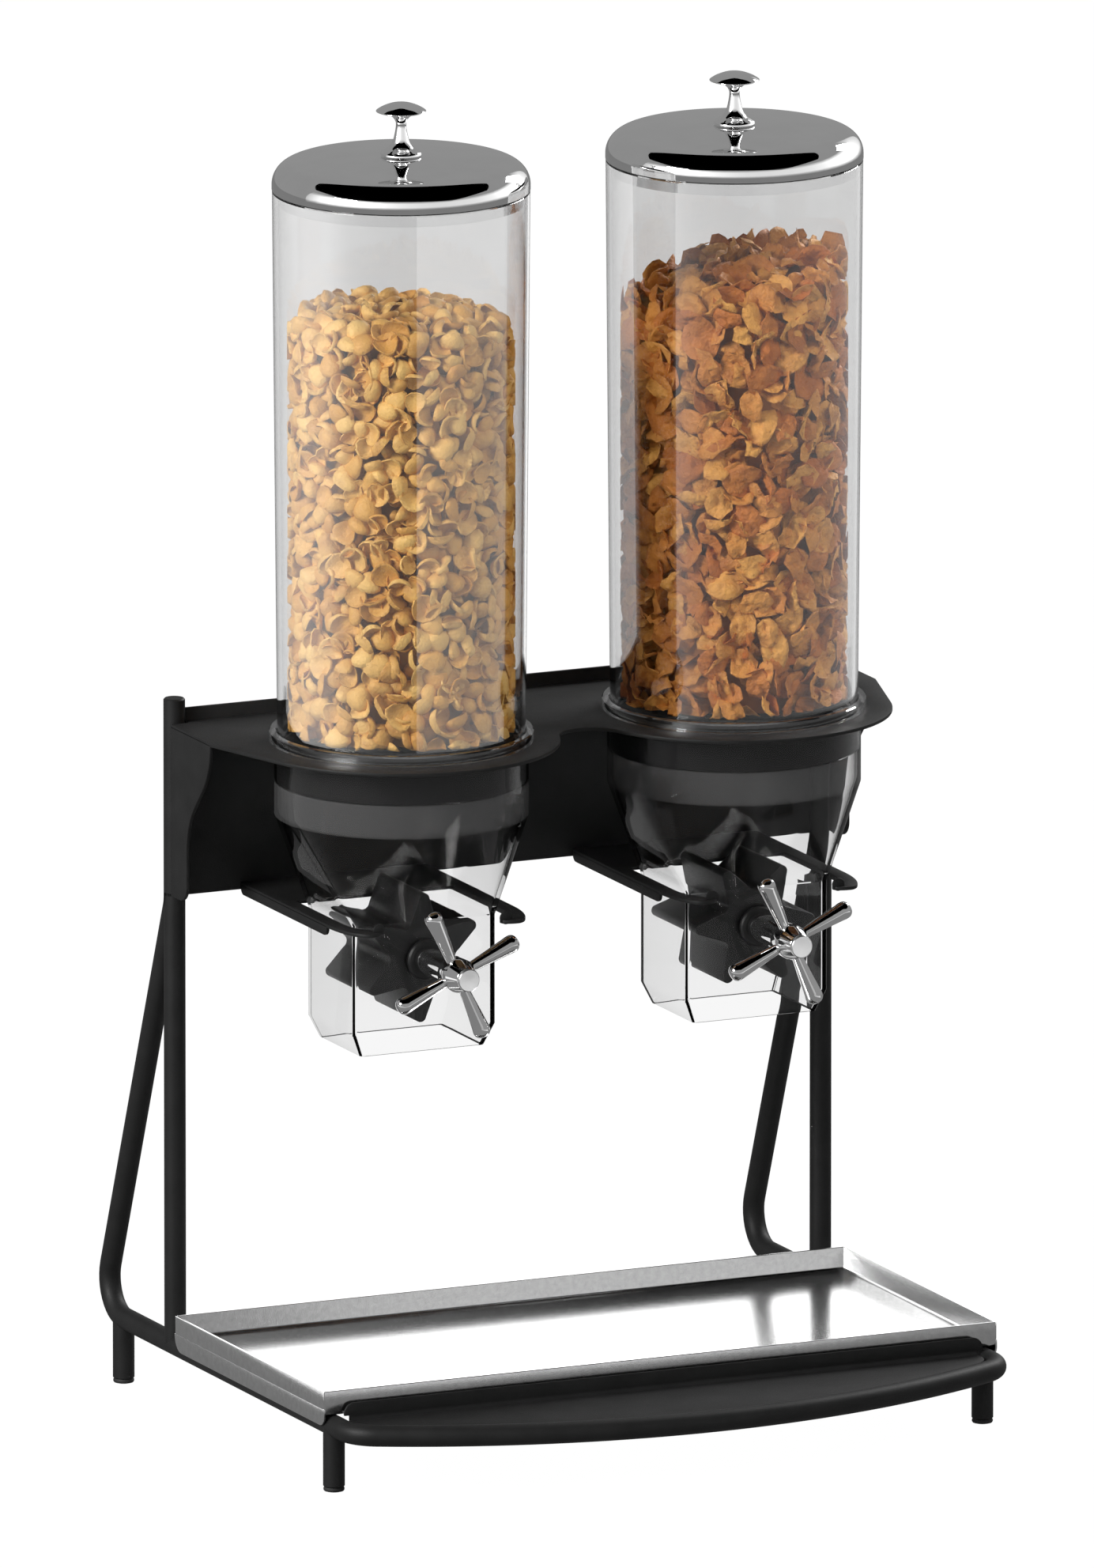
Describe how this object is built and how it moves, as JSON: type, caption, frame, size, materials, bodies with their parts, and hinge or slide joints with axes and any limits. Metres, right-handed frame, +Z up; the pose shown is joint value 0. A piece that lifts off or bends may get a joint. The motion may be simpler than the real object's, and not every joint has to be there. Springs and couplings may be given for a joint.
{
  "type": "cereal dispenser",
  "caption": "Free-standing dry food dispenser: tall clear canisters over rotary paddle valves on a bent-rod stand with a lift-out drip tray.",
  "frame": {"origin": "on the table under the middle of the object's box", "axes": "+X to the right seen from the front, +Y to the back, +Z up; the handles face -Y"},
  "size_m": [0.405, 0.3891, 0.7425],
  "materials": {
    "black_powder_coat": "satin black powder coat with a fine texture",
    "chrome": "polished chrome plate",
    "satin_chrome": "satin chrome face",
    "stainless": "stainless sheet brushed along its length",
    "steel": "plain steel",
    "clear_acrylic": "clear acrylic, polished",
    "clear_polycarbonate": "clear moulded polycarbonate, polished",
    "wheel_rubber": "matte black flexible rubber",
    "seal_rubber": "matte black rubber",
    "black_rubber": "matte black rubber",
    "black_plastic": "black moulded bearing plastic",
    "pale_cereal": "pale golden cup-shaped cereal, dry and matte",
    "amber_cereal": "amber toasted flakes, dry and matte"
  },
  "bodies": {
    "stand": {"back_panel": "black_powder_coat", "bracket_left": "black_powder_coat", "bracket_right": "black_powder_coat", "canister_seal_left": "seal_rubber", "canister_seal_right": "seal_rubber", "foot_front_left": "black_powder_coat", "foot_front_right": "black_powder_coat", "foot_rear_left": "black_powder_coat", "foot_rear_right": "black_powder_coat", "front_bow": "black_powder_coat", "front_bush_left": "black_plastic", "front_bush_right": "black_plastic", "front_plate": "black_powder_coat", "funnel_left": "clear_polycarbonate", "funnel_right": "clear_polycarbonate", "glide_front_left": "black_rubber", "glide_front_right": "black_rubber", "glide_rear_left": "black_rubber", "glide_rear_right": "black_rubber", "rear_bush_left": "black_plastic", "rear_bush_right": "black_plastic", "shelf": "black_powder_coat", "side_rod_left": "black_powder_coat", "side_rod_right": "black_powder_coat", "strut_left": "black_powder_coat", "strut_right": "black_powder_coat"},
    "canister_left": {"canister_left": "clear_acrylic", "cereal_left": "pale_cereal"},
    "lid_left": {"lid_left": "chrome", "lid_knob_left": "chrome", "knob_screw_left": "steel"},
    "handle_left": {"paddle_wheel_left": "wheel_rubber", "axle_left": "steel", "handle_hub_left": "chrome", "handle_cap_left": "satin_chrome", "spoke_1_left": "chrome", "spoke_2_left": "chrome", "spoke_3_left": "chrome", "spoke_4_left": "chrome"},
    "canister_right": {"canister_right": "clear_acrylic", "cereal_right": "amber_cereal"},
    "lid_right": {"lid_right": "chrome", "lid_knob_right": "chrome", "knob_screw_right": "steel"},
    "handle_right": {"paddle_wheel_right": "wheel_rubber", "axle_right": "steel", "handle_hub_right": "chrome", "handle_cap_right": "satin_chrome", "spoke_1_right": "chrome", "spoke_2_right": "chrome", "spoke_3_right": "chrome", "spoke_4_right": "chrome"},
    "tray": {"tray": "stainless"}
  },
  "joints": [
    {"name": "tray_lift", "type": "slide", "parent": "stand", "child": "tray", "axis": [0, 0, 1], "range_m": [0, 0.03]},
    {"name": "handle_left_turn", "type": "hinge", "parent": "stand", "child": "handle_left", "pos_m": [-0.1, -0.0662, 0.27], "axis": [0, -1, 0], "continuous": true},
    {"name": "canister_left_lift", "type": "slide", "parent": "stand", "child": "canister_left", "axis": [0, 0, 1], "range_m": [0, 0.04]},
    {"name": "lid_left_lift", "type": "slide", "parent": "canister_left", "child": "lid_left", "axis": [0, 0, 1], "range_m": [0, 0.05]},
    {"name": "handle_right_turn", "type": "hinge", "parent": "stand", "child": "handle_right", "pos_m": [0.1, -0.0662, 0.27], "axis": [0, -1, 0], "continuous": true},
    {"name": "canister_right_lift", "type": "slide", "parent": "stand", "child": "canister_right", "axis": [0, 0, 1], "range_m": [0, 0.04]},
    {"name": "lid_right_lift", "type": "slide", "parent": "canister_right", "child": "lid_right", "axis": [0, 0, 1], "range_m": [0, 0.05]}
  ]
}
